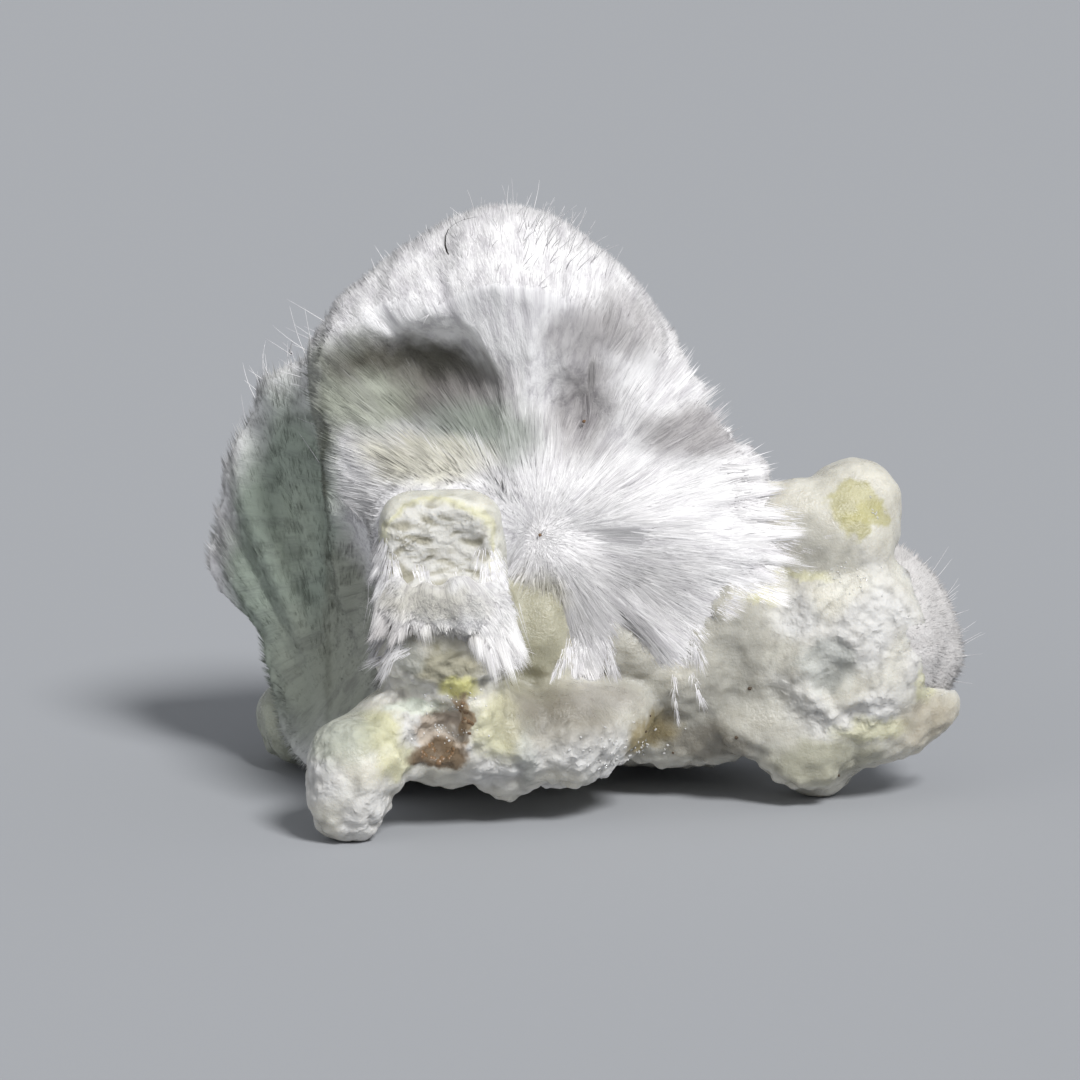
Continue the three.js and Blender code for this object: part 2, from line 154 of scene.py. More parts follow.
CAMERA = {"elevation": 10.6, "distance": 263.0, "lens": 196.8, "target": (0.0, 0.0, 12.36)}


# Numbers ------------------------------------------------------------------------------------------------

def unit(vectors):
    return vectors / np.maximum(np.linalg.norm(vectors, axis=-1, keepdims=True), 1e-9)


def ramp(low, high, value):
    """From 0 at low to 1 at high, with soft ends."""
    part = np.clip((value - low) / (high - low), 0.0, 1.0)
    return part * part * (3.0 - 2.0 * part)


def chance(cells, seed):
    """A repeatable number from 0 to 1 for each whole-numbered cell."""
    mixed = (cells @ np.array((374761393, 668265263, 1442695041)) + seed * 1274126177) & 0xFFFFFFFF
    mixed = ((mixed ^ (mixed >> 13)) * 1274126177) & 0xFFFFFFFF
    return ((mixed ^ (mixed >> 16)) & 0xFFFF) / 0xFFFF


def noise(points, size, seed=0):
    """Smooth noise, from about -1 to 1, with swells of the given size."""
    place = points / size
    cell = np.floor(place).astype(np.int64)
    part = place - cell
    fade = part ** 3 * (part * (part * 6 - 15) + 10)
    total = np.zeros(len(place))
    for corner in np.ndindex(2, 2, 2):
        weight = np.prod(np.where(corner, fade, 1 - fade), axis=1)
        slope = np.stack([chance(cell + corner, 3 * seed + axis) for axis in range(3)], axis=1) * 2 - 1
        total += weight * ((part - corner) * slope).sum(axis=1)
    return 1.5 * total


def cobbles(points, size, seed=0):
    """Rounded cobbles of the given size: 1 on the middle of each, falling to 0 in the gaps."""
    place = points / size
    cell = np.floor(place).astype(np.int64)
    near = np.full(len(place), 9.0)
    for step in np.ndindex(3, 3, 3):
        other = cell + (np.array(step) - 1)
        seat = other + np.stack([chance(other, 5 * seed + axis) for axis in range(3)], axis=1)
        near = np.minimum(near, ((place - seat) ** 2).sum(axis=1))
    return np.clip(1.0 - near / 0.7, 0.0, 1.0)


def ridges(points, size, seed=0):
    """Long winding ridges of the given size, from about -1 in the furrows to 1 on the crests."""
    bent = points + 0.35 * np.mean(size) * np.stack([noise(points, 0.9, seed + 7 + k) for k in range(3)], axis=1)
    return 1.0 - 4.0 * np.abs(noise(bent, size, seed))


# Meshes -------------------------------------------------------------------------------------------------

def read(items, what, width, kind=np.float32):
    values = np.empty(len(items) * width, kind)
    items.foreach_get(what, values)
    return values.reshape(-1, width)


def to_row(points):
    return ((points - LAYOUT) * MM).astype(np.float32).ravel()


def flare(parts):
    """Adds the trumpet of silk between the ball's face and the column's end."""
    (lip, lip_width, lip_height), (root, root_width, root_height) = FLARE
    rings = []
    for step in range(FLARE_STEPS + 1):
        along = step / FLARE_STEPS
        width = lip_width + (root_width - lip_width) * along ** 1.5
        height = lip_height + (root_height - lip_height) * along ** 1.5
        middle = np.array(lip) * (1 - along) + np.array(root) * along - LAYOUT
        turns = np.linspace(0.0, 2 * math.pi, 48, endpoint=False)
        rings.append([parts.verts.new(middle + (width * math.cos(turn), 0, height * math.sin(turn))) for turn in turns])
    for near, far in zip(rings, rings[1:]):
        for k in range(len(near)):
            parts.faces.new((near[k - 1], near[k], far[k], far[k - 1]))
    parts.faces.new(rings[0][::-1])
    parts.faces.new(rings[-1])


def remeshed(node):
    """A node's solid as one closed mesh of small even faces, and its points in layout millimetres."""
    parts = bmesh.new()
    parts.from_mesh(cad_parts[node].data)
    bmesh.ops.scale(parts, vec=(1 / MM,) * 3, verts=parts.verts)
    for centre, half in SWELLS.get(node, ()):
        where = Matrix.Translation(Vector(centre) - Vector(LAYOUT)) @ Matrix.Diagonal((*half, 1.0))
        bmesh.ops.create_icosphere(parts, subdivisions=4, radius=1.0, matrix=where)
    if node == "twin_puffball":
        flare(parts)
    coarse = bpy.data.meshes.new("coarse")
    parts.to_mesh(coarse)
    parts.free()
    helper = bpy.data.objects.new("helper", coarse)
    bpy.context.scene.collection.objects.link(helper)
    grid = helper.modifiers.new("grid", "REMESH")
    grid.mode = "VOXEL"
    grid.voxel_size = VOXEL[node]
    mesh = bpy.data.meshes.new_from_object(helper.evaluated_get(bpy.context.evaluated_depsgraph_get()))
    bpy.data.objects.remove(helper)
    bpy.data.meshes.remove(coarse)
    mesh.materials.clear()
    return mesh, read(mesh.vertices, "co", 3).astype(float) + LAYOUT


def smoothed(mesh, points, rounds, share=1.0):
    """Evens out facets and creases, by drawing each point to the middle of its neighbours again and again."""
    edges = read(mesh.edges, "vertices", 2, np.int32)
    ends = np.concatenate((edges, edges[:, ::-1]))
    count = np.bincount(ends[:, 0], minlength=len(points))
    pull = (0.5 * share / count)[:, None]
    for _ in range(rounds):
        sums = [np.bincount(ends[:, 0], points[ends[:, 1], axis], len(points)) for axis in range(3)]
        points = points + pull * (np.stack(sums, axis=1) - points * count[:, None])
    return points


def put(mesh, points):
    mesh.vertices.foreach_set("co", to_row(points))
    mesh.update()


def normals_of(mesh, points):
    put(mesh, points)
    return read(mesh.vertices, "normal", 3).astype(float)


def outline(mesh, points):
    """A remeshed piece's points and faces, for a tree that finds places on it."""
    return points.tolist(), read(mesh.polygons, "vertices", 4, np.int32).tolist()


def mesh_of(name, points, triangles):
    mesh = bpy.data.meshes.new(name)
    mesh.vertices.add(len(points))
    mesh.loops.add(triangles.size)
    mesh.polygons.add(len(triangles))
    mesh.vertices.foreach_set("co", to_row(points))
    mesh.loops.foreach_set("vertex_index", triangles.ravel().astype(np.int32))
    mesh.polygons.foreach_set("loop_start", np.arange(0, triangles.size, 3, dtype=np.int32))
    mesh.update(calc_edges=True)
    return mesh


def mark(mesh, name, values):
    """Keeps one number a point on the mesh, for its material."""
    layer = mesh.attributes.new(name, "FLOAT", "POINT")
    layer.data.foreach_set("value", values.astype(np.float32))


def piece(name, mesh, material, slot, *stands_for, shadow=True):
    mesh.name = name
    made = bpy.data.objects.new(name, mesh)
    made.visible_shadow = shadow
    bpy.context.scene.collection.objects.link(made)
    mesh.materials.append(material)
    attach(made, "root")
    if stands_for:
        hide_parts(*stands_for)
    return made


# Fibres -------------------------------------------------------------------------------------------------

def scattered(mesh, points, normals, count, thickness, random):
    """Random places on a mesh with their normals. thickness says how thickly a place with a normal is covered."""
    mesh.calc_loop_triangles()
    corners = read(mesh.loop_triangles, "vertices", 3, np.int32)
    a, b, c = (points[corners[:, k]] for k in range(3))
    area = np.linalg.norm(np.cross(b - a, c - a), axis=1)
    weight = area * thickness((a + b + c) / 3, unit(normals[corners].sum(axis=1)))
    chosen = random.choice(len(weight), count, p=weight / weight.sum())
    u, v = random.random((2, count, 1))
    u, v = np.where(u + v > 1, 1 - u, u), np.where(u + v > 1, 1 - v, v)
    place = a[chosen] + (b - a)[chosen] * u + (c - a)[chosen] * v
    return place, unit(normals[corners[chosen]].sum(axis=1))


def leaning(away, normals, lift):
    """Fibres run away from where they start. Where that would take them into the surface, they run along it."""
    facing = (away * normals).sum(axis=1, keepdims=True)
    return unit(away + normals * (np.maximum(lift - facing, 0)))


def gathered(roots, tips, share, pull, random):
    """Draws fibres together at their tips, each towards the nearest of a share of them."""
    leaders = random.choice(len(roots), max(1, int(len(roots) * share)), replace=False)
    tree = KDTree(len(leaders))
    for leader in leaders:
        tree.insert(roots[leader], leader)
    tree.balance()
    found = [tree.find(root) for root in roots]
    nearest = np.array([leader for _, leader, _ in found])
    close = np.array([[gap < LEAN_REACH] for _, _, gap in found])
    return tips + (tips[nearest] - tips) * (close * pull * random.uniform(0.4, 1.0, (len(roots), 1)))


def spikes(name, roots, tips, widths, facing, random, vary=0.22):
    """One joined mesh of slender closed three-sided spikes, shaded mostly as the surface that they stand on."""
    way = unit(tips - roots)
    across = unit(np.cross(way, random.normal(size=way.shape)))
    other = np.cross(way, across)
    turns = np.radians((0, 120, 240))
    half = np.asarray(widths).reshape(-1, 1) / 2
    base = [roots + (across * math.cos(turn) + other * math.sin(turn)) * half for turn in turns]
    points = np.stack((*base, tips), axis=1).reshape(-1, 3)
    faces = np.array(((0, 2, 1), (0, 1, 3), (1, 2, 3), (2, 0, 3)))
    triangles = (faces + 4 * np.arange(len(roots))[:, None, None]).reshape(-1, 3)
    mesh = mesh_of(name, points, triangles)
    shading = unit(facing + vary * random.normal(size=facing.shape))
    mesh.polygons.foreach_set("use_smooth", np.ones(len(triangles), bool))
    mesh.normals_split_custom_set_from_vertices(np.repeat(shading, 4, axis=0))
    return mesh


def coat(name, surface, count, random, thickness, away, length, lift, stray, bunch, width=1.0, vary=0.22):
    """A joined mesh of fibres that grow from a surface.

    thickness, away and length are functions of the places and normals: how thickly fibres grow there, the way
    that they run and how long they are. lift is how far they rise from the surface where they would run into it,
    stray how far each wanders, bunch the share of fibres that others lean to and how far they lean, and vary how
    much their shading differs.
    """
    roots, facing = scattered(*surface, count, thickness, random)
    way = leaning(away(roots, facing), facing, lift)
    way = unit(way + stray * random.normal(size=way.shape))
    reach = length(roots, facing) * random.uniform(0.45, 1.0, count)
    tips = gathered(roots, roots + way * reach[:, None], *bunch, random)
    tips[:, 2] = np.maximum(tips[:, 2], GROUND_GAP)
    roots[:, 2] = np.maximum(roots[:, 2], 2 * GROUND_GAP)
    widths = width * FIBRE_WIDTH * random.uniform(0.6, 1.3, count)
    return spikes(name, roots - facing * 0.06, tips, widths, facing, random, vary)


def brushed(name, brushes, count, spread, random):
    """Brushes of fibres, each brush given by its root and tip."""
    ends = np.repeat(np.array(brushes), count, axis=0)
    along = random.random((len(ends), 1)) ** 1.5
    stray = spread * random.normal(size=(len(ends), 3)) * np.array((1.0, 0.5, 1.0))
    way = ends[:, 1] - ends[:, 0]
    roots = ends[:, 0] + way * (along * 0.6) + stray * (1 - 0.5 * along)
    roots[:, 1:2] += ROOT_DEPTH * (1 - along)
    tips = ends[:, 0] + way * (0.6 + 0.4 * random.random((len(ends), 1)) + 0.1 * along) + 0.5 * stray
    facing = unit(np.array((0.0, -0.8, 0.6)) + 0.5 * stray / spread)
    widths = FIBRE_WIDTH * random.uniform(0.6, 1.1, len(ends))
    return spikes(name, roots, tips, widths, facing, random)


def beside_column(place):
    """From 0 over the column's end to 1 clear of it."""
    middle, half = COLUMN
    return ramp(1.0, 1.35, np.linalg.norm((place[:, (0, 2)] - middle) / half, axis=1))


def nearest_spray(place):
    """How thickly the sprays cover each place, from 0 to 1, and the way that the nearest one's fibres run there."""
    flat = place[:, (0, 2)]
    cover = np.zeros(len(place))
    way = np.zeros((len(place), 2))
    for root, tip, root_width, tip_width in SPRAYS:
        line = np.subtract(tip, root)
        along = np.clip((flat - root) @ line / (line @ line), 0.0, 1.0)
        aside = flat - root - along[:, None] * line
        width = root_width + (tip_width - root_width) * along
        here = ramp(1.4, 0.3, np.linalg.norm(aside, axis=1) / width)
        closer = here > cover
        cover = np.where(closer, here, cover)
        way = np.where(closer[:, None], unit(line) + 0.25 * aside / width[:, None], way)
    return cover, np.stack((way[:, 0], np.full(len(way), -0.05), way[:, 1]), axis=1)


def strands(name, roots, ways, bends, lengths, width):
    """One joined mesh of long thin hairs that bend a little, each a three-sided tube that runs to a point."""
    steps = 6
    turns = np.radians((0, 120, 240))
    rings = []
    for step in range(steps + 1):
        part = step / steps
        centre = roots + lengths[:, None] * part * (ways + bends * part)
        across = unit(np.cross(ways, (0.31, 0.2, 0.93)))
        other = np.cross(ways, across)
        half = 0.5 * width * (1.02 - part) ** 0.5
        rings += [centre + (across * math.cos(turn) + other * math.sin(turn)) * half for turn in turns]
    points = np.stack(rings, axis=1).reshape(-1, 3)
    faces = [(0, 2, 1), (3 * steps, 3 * steps + 1, 3 * steps + 2)]
    for step in range(steps):
        for side in range(3):
            low, next_low = 3 * step + side, 3 * step + (side + 1) % 3
            faces += [(low, next_low, next_low + 3), (low, next_low + 3, low + 3)]
    per_hair = 3 * (steps + 1)
    triangles = (np.array(faces) + per_hair * np.arange(len(roots))[:, None, None]).reshape(-1, 3)
    return mesh_of(name, points, triangles)


def grains(name, places, normals, sizes, shape, random, sink=0.3):
    """One joined mesh of small closed grains of one shape, each turned and sized its own way."""
    base, faces = shape
    sizes = np.asarray(sizes).reshape(-1, 1, 1)
    turned = np.stack([base @ turn for turn in random_turns(len(places), random)])
    points = (places[:, None, :] + normals[:, None, :] * (sink * sizes) + turned * sizes).reshape(-1, 3)
    triangles = (faces + len(base) * np.arange(len(places))[:, None, None]).reshape(-1, 3)
    return mesh_of(name, points, triangles)


def random_turns(count, random):
    for spin in random.normal(size=(count, 4)):
        yield np.array(Quaternion(spin / np.linalg.norm(spin)).to_matrix())


def pebble(rough, random):
    """A rounded grain about one across from its middle."""
    ball = bmesh.new()
    bmesh.ops.create_icosphere(ball, subdivisions=2, radius=1.0)
    points = np.array([corner.co for corner in ball.verts])
    faces = np.array([[corner.index for corner in face.verts] for face in ball.faces])
    ball.free()
    return points * (1 + rough * random.normal(size=(len(points), 1))), faces


def crystal():
    """A six-sided prism with a point at each end."""
    turns = np.radians(np.arange(6) * 60.0)
    ring = np.stack((np.cos(turns), np.sin(turns), np.zeros(6)), axis=1) * 0.62
    points = np.concatenate((ring - (0, 0, 0.7), ring + (0, 0, 0.7), ((0, 0, -1.25), (0, 0, 1.25))))
    faces = []
    for side in range(6):
        after = (side + 1) % 6
        faces += [(side, after, after + 6), (side, after + 6, side + 6), (after, side, 12), (side + 6, after + 6, 13)]
    return points, np.array(faces)


# Materials ----------------------------------------------------------------------------------------------

class Shader:
    """A material's nodes. A value is a socket to link or a plain number or colour to set."""

    def __init__(self, name):
        self.material = bpy.data.materials.new(name)
        self.material.use_nodes = True
        self.tree = self.material.node_tree
        self.tree.nodes.clear()
        self.surface = self.add("ShaderNodeBsdfPrincipled")
        output = self.add("ShaderNodeOutputMaterial")
        self.tree.links.new(self.surface.outputs[0], output.inputs[0])

    def add(self, kind, inputs=(), **settings):
        made = self.tree.nodes.new(kind)
        for name, value in settings.items():
            setattr(made, name, value)
        self.feed(made, dict(inputs))
        return made

    def feed(self, made, inputs):
        for name, value in inputs.items():
            socket = made.inputs[name]
            if isinstance(value, bpy.types.NodeSocket):
                self.tree.links.new(value, socket)
            elif socket.type == "RGBA":
                socket.default_value = (*value, 1.0)
            else:
                socket.default_value = value

    def vector(self, operation, first, second=(0, 0, 0)):
        made = self.add("ShaderNodeVectorMath", {0: first, 1: second}, operation=operation)
        return made.outputs["Value" if operation in ("LENGTH", "DISTANCE", "DOT_PRODUCT") else "Vector"]

    def sum(self, operation, first, second=0.0):
        return self.add("ShaderNodeMath", {0: first, 1: second}, operation=operation).outputs[0]

    def ramp(self, value, low, high, first=0.0, last=1.0):
        inputs = {"Value": value, "From Min": low, "From Max": high, "To Min": first, "To Max": last}
        return self.add("ShaderNodeMapRange", inputs, interpolation_type="SMOOTHSTEP").outputs[0]

    def mix(self, factor, first, second, way="MIX"):
        inputs = {0: factor, 6: first, 7: second}
        return self.add("ShaderNodeMix", inputs, data_type="RGBA", blend_type=way).outputs[2]

    def noise(self, place, scale, detail=3.0, rough=0.55):
        inputs = {"Vector": place, "Scale": scale, "Detail": detail, "Roughness": rough}
        return self.add("ShaderNodeTexNoise", inputs)

    def place(self, wander=0.0):
        """The layout's millimetres, with the edges of what is placed by them wandering a little."""
        seen = self.add("ShaderNodeTexCoord").outputs["Object"]
        plain = self.vector("ADD", self.scaled(seen, 1 / MM), tuple(LAYOUT))
        if not wander:
            return plain
        stray = self.vector("SUBTRACT", self.noise(plain, 0.9).outputs["Color"], (0.5, 0.5, 0.5))
        return self.vector("ADD", plain, self.scaled(stray, wander))

    def scaled(self, vector, factor):
        made = self.add("ShaderNodeVectorMath", {0: vector, "Scale": factor}, operation="SCALE")
        return made.outputs["Vector"]

    def patched(self, place, colour, spots):
        """Lays soft-edged patches over a colour, each as (centre, half sizes, colour, strength, softness)."""
        for centre, half, tint, strength, soft in spots:
            offset = self.vector("DIVIDE", self.vector("SUBTRACT", place, centre), half)
            share = self.ramp(self.vector("LENGTH", offset), 1 - soft, 1 + soft, strength, 0.0)
            colour = self.mix(share, colour, tint)
        return colour

    def away(self, place, centre):
        """The direction of the fibres at a place."""
        return self.vector("NORMALIZE", self.vector("SUBTRACT", place, tuple(centre)))

    def bump(self, height, depth, strength=1.0, under=None):
        inputs = {"Height": height, "Distance": depth * MM, "Strength": strength}
        if under is not None:
            inputs["Normal"] = under
        return self.add("ShaderNodeBump", inputs).outputs[0]

    def finish(self, **inputs):
        named = {name.replace("_", " ").title().replace("Ior", "IOR"): value for name, value in inputs.items()}
        self.feed(self.surface, named)
        return self.material


# Colours as albedos.
WHITE = (0.87, 0.858, 0.862)
GAP_SHADE = (0.72, 0.71, 0.73)  # painted shade: how much of their colour the hollows between bundles of fibres keep
DEEP_GAP_SHADE = (0.50, 0.51, 0.50)
PALE_GAP_SHADE = (0.90, 0.89, 0.89)
# The rear ball's green tint, darkened with painted shade of its shaded face.
SAGE_SHADE = (0.33, 0.39, 0.32)
# Painted shade with an olive tint, on the shaded left side, in the scoop and low down.
DUSK_SHADE = (0.38, 0.40, 0.33)
# Painted shade, dark and greenish, in the seam's crease and the scoop under the crest.
MOSS_SHADE = (0.17, 0.18, 0.14)
# Painted shade with a green tint, in the scoop left of the middle.
TEAL_SHADE = (0.23, 0.26, 0.22)
CREAM = (0.69, 0.67, 0.55)
# Painted shadow, brownish, under the crest's overhang.
UMBER_SHADOW = (0.075, 0.07, 0.05)
# Painted shade in the hollows of the face and the crown.
MAUVE_SHADE = (0.29, 0.27, 0.27)
ASH = (0.46, 0.47, 0.44)
SILVER = (0.47, 0.46, 0.46)
STRAW = (0.50, 0.48, 0.38)
PALE_SAGE = (0.50, 0.56, 0.46)

# Patches of the okenite, as (centre, half sizes, colour, strength, softness).
# The sage, dusk, moss, teal, umber and mauve patches are painted shade and shadow, the green ones with the okenite's
# green tint.
OKENITE_PATCHES = [
    ((-12.2, 5.0, 10.4), (3.8, 6.5, 8.6), SAGE_SHADE, 0.95, 0.25),
    ((-9.0, 1.9, 7.2), (1.9, 4.0, 4.6), DUSK_SHADE, 0.9, 0.25),
    ((-11.3, 2.0, 5.0), (3.0, 6.0, 3.8), DUSK_SHADE, 0.8, 0.4),
    ((-10.0, 2.4, 18.2), (1.2, 3.0, 2.8), DUSK_SHADE, 0.65, 0.35),
    ((-9.75, 2.4, 11.5), (0.22, 3.0, 8.0), MOSS_SHADE, 0.9, 0.6),
    ((-8.3, 0.5, 20.0), (1.9, 3.5, 1.5), MOSS_SHADE, 0.9, 0.4),
    ((-5.6, 2.0, 19.3), (3.9, 4.5, 1.7), UMBER_SHADOW, 0.95, 0.4),
    ((-8.0, 1.5, 18.2), (2.4, 3.5, 1.2), DUSK_SHADE, 0.9, 0.5),
    ((-3.4, 0.5, 18.6), (2.1, 3.0, 1.2), MAUVE_SHADE, 0.6, 0.5),
    ((-2.9, 0.5, 17.0), (2.8, 2.5, 1.5), TEAL_SHADE, 0.9, 0.5),
    ((-5.6, -2.0, 16.4), (3.2, 4.5, 0.9), CREAM, 0.8, 0.4),
    ((1.9, 1.0, 18.2), (1.5, 2.5, 2.2), MAUVE_SHADE, 0.8, 0.5),
    ((4.0, 1.0, 21.8), (2.0, 2.5, 1.7), MAUVE_SHADE, 0.6, 0.6),
    ((6.8, 1.0, 17.0), (2.4, 2.5, 1.2), MAUVE_SHADE, 0.75, 0.5),
    ((1.6, 1.0, 21.4), (1.5, 2.5, 1.2), MAUVE_SHADE, 0.6, 0.5),
    ((3.9, -0.5, 9.6), (3.2, 3.0, 2.4), SILVER, 0.7, 0.6),
    ((0.0, -0.5, 9.8), (1.1, 3.0, 1.2), STRAW, 0.7, 0.5),
    ((-11.1, 6.0, 11.4), (1.1, 8.0, 2.2), PALE_SAGE, 0.6, 0.6),
]

# The tuft's own white, with a cream-grey band along its top and painted shade on its lower left and under its middle.
TUFT_TINT_AND_SHADE = [
    (tuple(TUFT), (9.0, 9.0, 9.0), (0.80, 0.79, 0.785), 1.0, 0.1),
    ((-4.9, -6.5, 10.9), (2.4, 3.0, 0.8), (0.52, 0.50, 0.43), 0.75, 0.5),
    ((-6.7, -6.5, 8.9), (1.1, 3.0, 1.5), (0.56, 0.54, 0.53), 0.8, 0.5),
    ((-4.3, -5.4, 9.3), (1.6, 2.0, 0.7), (0.60, 0.58, 0.53), 0.7, 0.5),
]
SIDE_TINT = [(tuple(SIDE), (9.0, 9.0, 9.0), (0.70, 0.68, 0.67), 1.0, 0.1)]


def okenite(name, patches=OKENITE_PATCHES, strands=False, centre=BALL, gaps=GAP_SHADE, dimmest=0.86):
    """Silky fibres. strands marks a mesh of loose fibres, which differ in brightness down to the dimmest."""
    shader = Shader(name)
    place = shader.place(wander=1.2)
    plain = shader.place()
    bundles = shader.noise(shader.away(plain, centre), 18.0, 6.0, 0.7).outputs[0]
    # Painted shade: the hollows between bundles of fibres are darkened towards the gap shade.
    streak_shade = shader.mix(shader.ramp(bundles, 0.34, 0.56), gaps, (1.0, 1.0, 1.0))
    colour = shader.mix(1.0, shader.patched(place, WHITE, patches), streak_shade, "MULTIPLY")
    if strands:
        varied = shader.add("ShaderNodeNewGeometry").outputs["Random Per Island"]
        colour = shader.mix(1.0, colour, shader.mix(varied, (dimmest,) * 3, (1.0, 1.0, 1.0)), "MULTIPLY")
        return shader.finish(base_color=colour, roughness=0.5)
    return shader.finish(base_color=colour, roughness=0.6, normal=shader.bump(bundles, 0.15))


CHALK = (0.63, 0.62, 0.60)
CLOUD = (0.66, 0.64, 0.57)
GREY_CLOUD = (0.50, 0.485, 0.43)
OLIVE = (0.34, 0.325, 0.22)
YELLOW = (0.57, 0.55, 0.29)
# Painted light: a brighter copy of the yellow, where the tuft's shadow falls on it.
LIT_YELLOW = (0.72, 0.69, 0.30)
KNOB_YELLOW = (0.45, 0.42, 0.19)
PALE_YELLOW = (0.66, 0.64, 0.42)
PALE_CREAM = (0.68, 0.67, 0.60)
AMBER = (0.33, 0.24, 0.15)
UMBER_STONE = (0.16, 0.11, 0.062)
TAN = (0.48, 0.40, 0.32)
# The hollow under the tuft: partly its own olive and partly painted shade.
OLIVE_HOLLOW_SHADE = (0.33, 0.31, 0.22)
OCHRE = (0.30, 0.245, 0.13)
SAND = (0.55, 0.49, 0.38)
PALE_SAND = (0.62, 0.57, 0.50)
PALE_GREEN = (0.62, 0.68, 0.56)
GREY = (0.38, 0.36, 0.33)
# Painted shade for the lower front and the low back of the crust.
SMOKE_SHADE = (0.24, 0.22, 0.18)
KHAKI = (0.41, 0.40, 0.31)
RECESS = (0.44, 0.41, 0.30)
GRANULES = (0.65, 0.64, 0.61)

# Patches of the crust.
CRUST_PATCHES = [
    # The dusk, dark olive and smoke patches are painted shade, the olive one also the hollow's own olive; the bright
    # yellow one is painted light where the tuft shades it.
    ((6.4, 0.0, 6.6), (4.2, 4.0, 3.6), GREY_CLOUD, 0.9, 0.35),
    ((9.4, 0.0, 4.2), (2.2, 4.0, 1.8), GREY_CLOUD, 0.7, 0.5),
    ((-12.2, 5.0, 2.6), (3.6, 9.0, 3.6), DUSK_SHADE, 0.95, 0.3),
    ((-0.6, -2.5, 8.6), (2.6, 4.0, 3.2), OLIVE, 0.75, 0.35),
    ((-4.45, -5.5, 12.8), (3.3, 2.6, 3.4), PALE_CREAM, 0.85, 0.1),
    ((-4.45, -6.5, 12.6), (2.85, 2.6, 3.0), PALE_YELLOW, 0.75, 0.06),
    ((-4.45, -6.5, 12.5), (2.6, 2.6, 2.75), GRANULES, 0.95, 0.08),
    ((-4.5, -6.5, 10.9), (2.8, 1.9, 0.7), GRANULES, 0.95, 0.3),
    ((-4.1, -6.0, 7.8), (1.8, 1.8, 1.0), OLIVE_HOLLOW_SHADE, 0.9, 0.35),
    ((-5.9, -6.0, 8.3), (0.8, 1.8, 0.8), ASH, 0.6, 0.4),
    ((-3.6, -6.3, 6.85), (1.0, 1.8, 0.45), LIT_YELLOW, 0.95, 0.35),
    ((-7.1, -5.8, 4.9), (1.0, 1.8, 0.9), YELLOW, 0.7, 0.4),
    ((-6.4, -5.8, 3.6), (0.9, 1.8, 0.8), PALE_YELLOW, 0.8, 0.4),
    ((-9.0, -6.0, 4.8), (1.9, 2.5, 1.1), DUSK_SHADE, 0.8, 0.5),
    ((-1.7, -5.3, 5.0), (1.3, 1.8, 1.5), PALE_YELLOW, 0.8, 0.4),
    ((1.2, -4.2, 5.3), (3.0, 3.0, 1.3), SMOKE_SHADE, 0.9, 0.6),
    ((3.8, -3.5, 5.9), (2.2, 2.5, 0.8), GREY, 0.8, 0.5),
    ((-0.6, -4.9, 3.2), (0.5, 2.0, 1.6), ASH, 0.7, 0.5),
    ((-4.2, -5.6, 4.8), (1.1, 2.0, 1.2), TAN, 0.9, 0.25),
    ((-3.3, -5.6, 5.4), (0.45, 2.0, 1.2), AMBER, 0.95, 0.2),
    ((-4.6, -5.6, 3.7), (1.35, 2.0, 0.65), UMBER_STONE, 0.95, 0.2),
    ((-3.8, -5.6, 4.6), (1.1, 2.0, 0.2), PALE_SAND, 0.9, 0.6),
    ((-5.4, -5.6, 5.9), (1.4, 2.0, 0.35), PALE_GREEN, 0.6, 0.4),
    ((11.4, 0.0, 11.6), (2.6, 3.0, 1.4), GREY_CLOUD, 0.6, 0.5),
    ((14.0, 0.6, 13.9), (1.1, 1.5, 0.95), KNOB_YELLOW, 0.7, 0.2),
    ((14.9, 0.6, 13.4), (0.8, 1.5, 0.6), KNOB_YELLOW, 0.7, 0.2),
    ((13.9, 0.6, 13.1), (0.7, 1.5, 0.7), KNOB_YELLOW, 0.7, 0.2),
    ((12.8, -1.2, 6.8), (1.3, 2.5, 1.2), ASH, 0.75, 0.3),
    ((10.2, -0.2, 9.8), (0.7, 1.5, 0.5), PALE_YELLOW, 0.8, 0.4),
    ((11.6, -0.2, 10.7), (1.4, 1.5, 0.25), PALE_YELLOW, 0.7, 0.5),
    ((15.4, -0.2, 3.7), (2.0, 1.5, 0.6), PALE_YELLOW, 0.7, 0.4),
    ((13.0, -0.2, 2.2), (2.8, 2.5, 1.1), KHAKI, 0.85, 0.4),
    ((17.8, 0.5, 3.6), (1.6, 3.0, 1.5), SAND, 0.7, 0.5),
    ((17.3, 0.4, 5.6), (0.5, 1.5, 0.9), PALE_YELLOW, 0.7, 0.4),
    ((7.6, 1.0, 3.0), (2.2, 2.0, 0.9), SMOKE_SHADE, 0.8, 0.4),
    ((5.0, -0.6, 3.6), (1.4, 2.5, 1.1), OCHRE, 0.95, 0.3),
]


